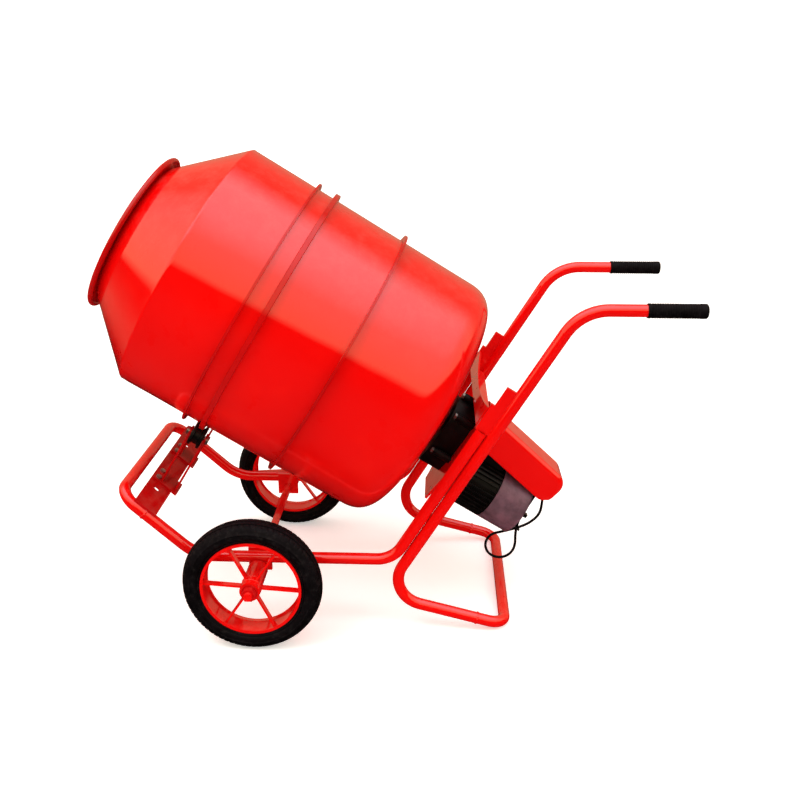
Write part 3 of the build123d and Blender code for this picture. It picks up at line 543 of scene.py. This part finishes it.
def drum_shell(made):
    """The drum's base, barrel and cone as one sheet, with a weld bead at the shoulder."""
    outer = drum_side(0.0, 0.0)
    inner = drum_side(WALL, CONE_WALL_INSET)
    outline = outer + list(reversed(inner))
    outside = len(outer)

    def shape(index, radius, height, angle):
        move = sheet_wave(radius, height, angle)
        if index < outside:
            bead = math.exp(-(abs(height - SHOULDER) / SHOULDER_BEAD_WIDTH)**2)
            move += SHOULDER_BEAD_HEIGHT * bead * (0.8 + 0.35 * math.sin(angle * 260))
        return radius + move, height

    lathe(made, DRUM, outline, DRUM_TURN_STEPS, shape)


shell = new_object("drum_shell", drum_shell, "red_paint", "drum", DRUM_PAINT, 50.0)
shell.data.materials.append(LINING)
for polygon in shell.data.polygons:
    away = DRUM.inverted() @ polygon.center
    radial = DRUM.to_3x3() @ Vector((away.x, away.y, 0)).normalized()
    flat = abs(polygon.normal.dot(drum_axis)) > 0.9
    inward = polygon.normal.dot(radial) < -0.2 or (flat and polygon.normal.dot(drum_axis) > 0)
    if inward and away.z < MOUTH[1] - 0.002:
        polygon.material_index = 1
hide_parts("drum_cone", "drum_barrel", "drum_base")
NODES["mixing_blades"].data.materials[0] = LINING


# ---- wheels --------------------------------------------------------------------------

TYRE_BEAD = 0.11852
BORE_STRIP_HALF = 0.008
TREAD_BLOCKS = 72
SHOULDER_GROOVE = 0.0016
SHOULDER_GROOVE_SHARE = 0.20
MIDDLE_GROOVE = 0.0010
MIDDLE_GROOVE_SHARE = 0.13


def tyre_outline():
    """Half of the tyre's section in metres, (radius, side): the sidewall, then the tread to its middle."""
    side = [(TYRE_BEAD, 0.0235), (0.1215, 0.0262), (0.1245, 0.0278), (0.1262, 0.0262), (0.1275, 0.0285),
            (0.1320, 0.0304), (0.1370, 0.0309), (0.1405, 0.0306), (0.1415, 0.0314), (0.1432, 0.0314),
            (0.1442, 0.0302), (0.1490, 0.0286), (0.1535, 0.0262), (0.1570, 0.0232)]
    tread = [(0.1590, 0.0200), (0.1606, 0.0170), (0.1612, 0.0150), (0.1590, 0.0142), (0.1590, 0.0126),
             (0.1622, 0.0118), (0.1636, 0.0075), (0.1642, 0.0052), (0.1618, 0.0044), (0.1618, 0.0028),
             (0.1648, 0.0020), (0.1650, 0.0)]
    return side, tread


def tyre(made, side):
    """A tyre with slanted grooves across its shoulders and shallower ones either side of its middle."""
    wall, tread = tyre_outline()
    half = wall + tread
    outline = half + [(r, -h) for r, h in reversed(half[:-1])]
    outline += [(TYRE_BEAD, -BORE_STRIP_HALF), (TYRE_BEAD, BORE_STRIP_HALF)]
    middle = Matrix.Translation(from_axle(0, side * HALF_TRACK, WHEEL_RADIUS))
    place = middle @ Matrix.Rotation(math.radians(-90 * side), 4, "X")

    def shape(index, radius, height, angle):
        across = abs(height)
        if radius > 0.155 and across > 0.0118:
            phase = (angle * TREAD_BLOCKS / (2 * math.pi) + across * 30) % 1.0
            if phase < SHOULDER_GROOVE_SHARE:
                radius -= SHOULDER_GROOVE
        elif radius > 0.1635 and across > 0.0020:
            phase = (angle * TREAD_BLOCKS / (2 * math.pi) + 0.5 - height * 60) % 1.0
            if phase < MIDDLE_GROOVE_SHARE:
                radius -= MIDDLE_GROOVE
        return radius, height

    lathe(made, place, outline, TREAD_BLOCKS * 8, shape)


for side, name in ((-1, "left"), (1, "right")):
    piece = new_object(f"treaded_tyre_{name}", lambda made: tyre(made, side), "tyre_rubber", f"wheel_{name}",
                       smooth_angle=40.0)
    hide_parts(f"tyre_{name}")


# ---- grips ---------------------------------------------------------------------------

GRIP_LENGTH = 0.130
GRIP_BORE = 0.01403
GRIP_RADIUS = 0.0165
GRIP_RIBS = 19
GRIP_FIRST_RIB = 0.0090
GRIP_PITCH = 0.0054
GRIP_END_BEND = 0.0055
GRIP_BORE_END = 0.12604
GRIP_END_HOLE = 0.0006


def ribbed_grip(made, side):
    """A moulded grip: a collar, close ribs along its length and a domed end."""
    wide, bend = GRIP_RADIUS, GRIP_END_BEND
    rib, groove = wide - 0.0002, wide - 0.0011
    outline = [(GRIP_BORE, 0.0), (wide - 0.0006, 0.0), (wide, 0.0012), (wide, 0.0065)]
    outline += [(wide - 0.0010, 0.0078)]
    for i in range(GRIP_RIBS):
        low = GRIP_FIRST_RIB + i * GRIP_PITCH
        outline += [(groove, low), (rib, low + 0.0011), (rib, low + 0.0036), (groove, low + 0.0045)]
    outline += [(wide, 0.1130), (wide, 0.1240)]
    outline += arc((wide - bend, GRIP_LENGTH - bend), bend, 0, 80, 6)
    outline += [(GRIP_END_HOLE, GRIP_LENGTH), (GRIP_END_HOLE, GRIP_BORE_END), (GRIP_BORE, GRIP_BORE_END)]
    place = along_axis(from_axle(GRIP_START, side * HALF_FRAME, HANDLE_HEIGHT), Vector((1, 0, 0)))
    lathe(made, place, outline, 56)


for side, name in ((-1, "left"), (1, "right")):
    piece = new_object(f"ribbed_grip_{name}", lambda made: ribbed_grip(made, side), "black_rubber", "chassis")
    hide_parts(f"grip_{name}")


# ---- welds ---------------------------------------------------------------------------

def weld_ring(made, centre, axis, radius, size, seed):
    """A lumpy bead laid round a tube."""
    steps, around = 90, 8
    place = along_axis(centre, axis)
    rings = []
    for i in range(steps):
        angle = 2 * math.pi * i / steps
        ripple = 0.22 * math.sin(angle * 14 + seed)
        rough = 0.12 * noise.noise(Vector((angle * 4, seed, 0)))
        lump = size * (1 + ripple + rough)
        ring = []
        for j in range(around):
            turn = 2 * math.pi * j / around
            out = radius + 0.55 * lump * math.cos(turn)
            ring.append(place @ Vector((out * math.cos(angle), out * math.sin(angle), lump * math.sin(turn))))
        rings.append(ring)
    sweep_ring(made, rings, True)


TUBE = 0.014
FRAME_BEAD = 0.0026
HUB_RADIUS = 0.0242
HUB_BEAD = 0.0018
HUB_BEAD_OFFSET = 0.008
RISE = Vector((-0.7361, 0, 0.6769))
LEG_SLOPE = math.radians(14.5)
LEG_RUN = Vector((math.cos(LEG_SLOPE), 0, -math.sin(LEG_SLOPE)))


def frame_welds(made):
    """Beads where the front bar and the foot bar join the side tubes."""
    for y in (-HALF_FRAME, HALF_FRAME):
        bow_end = from_axle(CROSSBAR[0], y, CROSSBAR[1]) - RISE * (BOW_LEG * MM)
        foot_end = from_axle(FOOT_JOINT, y, FOOT_TUBE_RADIUS + FOOT_LEG * math.tan(LEG_SLOPE))
        weld_ring(made, bow_end, RISE, TUBE, FRAME_BEAD, y)
        weld_ring(made, foot_end, LEG_RUN, TUBE, FRAME_BEAD, y + 1)


new_object("frame_welds", frame_welds, "red_paint", "chassis")


def hub_welds(made, side):
    """Beads round the hub on both sides of the spokes."""
    spokes = from_axle(0, side * (HALF_TRACK + SPOKE_PLANE), WHEEL_RADIUS)
    for offset in (-HUB_BEAD_OFFSET, HUB_BEAD_OFFSET):
        place = spokes + Vector((0, offset, 0))
        weld_ring(made, place, Vector((0, 1, 0)), HUB_RADIUS, HUB_BEAD, offset * 900)


for side, name in ((-1, "left"), (1, "right")):
    new_object(f"hub_welds_{name}", lambda made: hub_welds(made, side), "red_paint", f"wheel_{name}")


# ---- floor and light -----------------------------------------------------------------

# The sky's colour by how high a direction points. The wall's share of it by how far back the direction
# points, and by how high, where 0.5 is level.
SKY_STOPS = [(0.20, (0.004, 0.004, 0.004)), (0.29, (1.05, 0.88, 0.50)), (0.62, (1.1, 0.98, 0.76)),
             (0.85, (1.7, 1.7, 1.75))]
WALL_STOPS = [(0.15, 0.0), (0.55, 1.0)]
WALL_FOOT = [(0.36, 0.0), (0.44, 1.0)]
SKY_STRENGTH = 1.05
WALL_COLOUR = (0.50, 0.27, 0.17, 1)

# Sizes in metres, and how strongly each sheet glows.
FLOOR_MIDDLE = 3.0
FLOOR_RADIUS = 9.0
FLOOR_GLOW = 0.45
BOUNCE_DROP = 0.002
BOUNCE_GLOW = 0.30
WALL_BEND = 1.5
WALL_TOP = 9.0
WALL_GLOW = 1.0


def pale_sheet(name, profile, closed_middle, glow):
    """A pale sheet turned all round the object from an outline (radius, height) in metres."""
    made = bmesh.new()
    steps = 96
    rows = []
    turns = [2 * math.pi * i / steps for i in range(steps)]
    for radius, height in profile:
        rows.append([made.verts.new((radius * math.cos(a), radius * math.sin(a), height)) for a in turns])
    for near, far in zip(rows, rows[1:]):
        for j in range(steps):
            k = (j + 1) % steps
            made.faces.new((near[j], near[k], far[k], far[j]))
    if closed_middle:
        made.faces.new(rows[0])
    bmesh.ops.recalc_face_normals(made, faces=made.faces)
    mesh = bpy.data.meshes.new(name)
    made.to_mesh(mesh)
    made.free()
    for polygon in mesh.polygons:
        polygon.use_smooth = True
    sheet = bpy.data.objects.new(name, mesh)
    bpy.context.scene.collection.objects.link(sheet)
    s = Shader(name)
    s.colour(s.mix(s.noise(0.6, 3), (0.93, 0.93, 0.93), (0.96, 0.96, 0.96)))
    s.set(Specular_IOR_Level=0.1, Emission_Color=(1, 1, 1, 1), Emission_Strength=glow)
    s.roughness(s.ramp(s.noise(3, 3), [(0.2, 0.85), (0.8, 0.95)]))
    mesh.materials.append(s.material)
    sheet.visible_glossy = False
    return sheet


def plain_backdrop():
    """A pale floor, a dimmer sheet under it that throws light up, and a wall that lets the sky's light in."""
    floor = pale_sheet("floor", [(FLOOR_MIDDLE, 0.0), (FLOOR_RADIUS, 0.0)], True, FLOOR_GLOW)
    floor.visible_diffuse = False
    under = [(FLOOR_MIDDLE, -BOUNCE_DROP), (FLOOR_RADIUS, -BOUNCE_DROP)]
    bounce = pale_sheet("bounce", under, True, BOUNCE_GLOW)
    bounce.visible_camera = False
    turns = [math.radians(a) for a in range(0, 91, 10)]
    bend = [(FLOOR_RADIUS + WALL_BEND * math.sin(a), WALL_BEND - WALL_BEND * math.cos(a)) for a in turns]
    wall = pale_sheet("wall", bend + [(FLOOR_RADIUS + WALL_BEND, WALL_TOP)], False, WALL_GLOW)
    wall.visible_diffuse = False
    wall.visible_shadow = False


def studio_sky():
    """A bright sky over a dark ground, and a warm wall behind, for the gloss to reflect."""
    world = bpy.data.worlds.new("studio_sky")
    world.use_nodes = True
    tree = world.node_tree
    direction = tree.nodes.new("ShaderNodeTexCoord").outputs["Generated"]
    split = tree.nodes.new("ShaderNodeSeparateXYZ")
    tree.links.new(direction, split.inputs[0])
    sky = ramp_node(tree, split.outputs["Z"], SKY_STOPS)
    lifted = tree.nodes.new("ShaderNodeMath")
    lifted.operation = "MULTIPLY_ADD"
    tree.links.new(split.outputs["Z"], lifted.inputs[0])
    lifted.inputs[1].default_value = 0.5
    lifted.inputs[2].default_value = 0.5
    wall = tree.nodes.new("ShaderNodeMath")
    wall.operation = "MULTIPLY"
    tree.links.new(ramp_node(tree, split.outputs["Y"], WALL_STOPS), wall.inputs[0])
    tree.links.new(ramp_node(tree, lifted.outputs[0], WALL_FOOT), wall.inputs[1])
    join = tree.nodes.new("ShaderNodeMix")
    join.data_type = "RGBA"
    tree.links.new(wall.outputs[0], join.inputs["Factor"])
    tree.links.new(sky, join.inputs[6])
    join.inputs[7].default_value = WALL_COLOUR
    background = tree.nodes["Background"]
    tree.links.new(join.outputs[2], background.inputs["Color"])
    background.inputs["Strength"].default_value = SKY_STRENGTH
    bpy.context.scene.world = world


def area_light(name, location, target, size, power, colour=(1, 1, 1)):
    data = bpy.data.lights.new(name, "AREA")
    data.shape = "RECTANGLE"
    data.size, data.size_y = size
    data.energy = power
    data.color = colour
    light = bpy.data.objects.new(name, data)
    light.location = location
    light.rotation_euler = (Vector(target) - Vector(location)).to_track_quat("-Z", "Y").to_euler()
    light.visible_glossy = False
    bpy.context.scene.collection.objects.link(light)


plain_backdrop()
studio_sky()
area_light("key", (-1.8, -1.6, 3.2), (-0.2, 0, 0.6), (1.6, 1.2), 30.0, (1.0, 0.95, 0.97))
area_light("side", (2.6, -1.6, 2.0), (0.1, 0, 0.5), (0.9, 1.2), 14.0)
bpy.context.scene.view_settings.view_transform = "Standard"
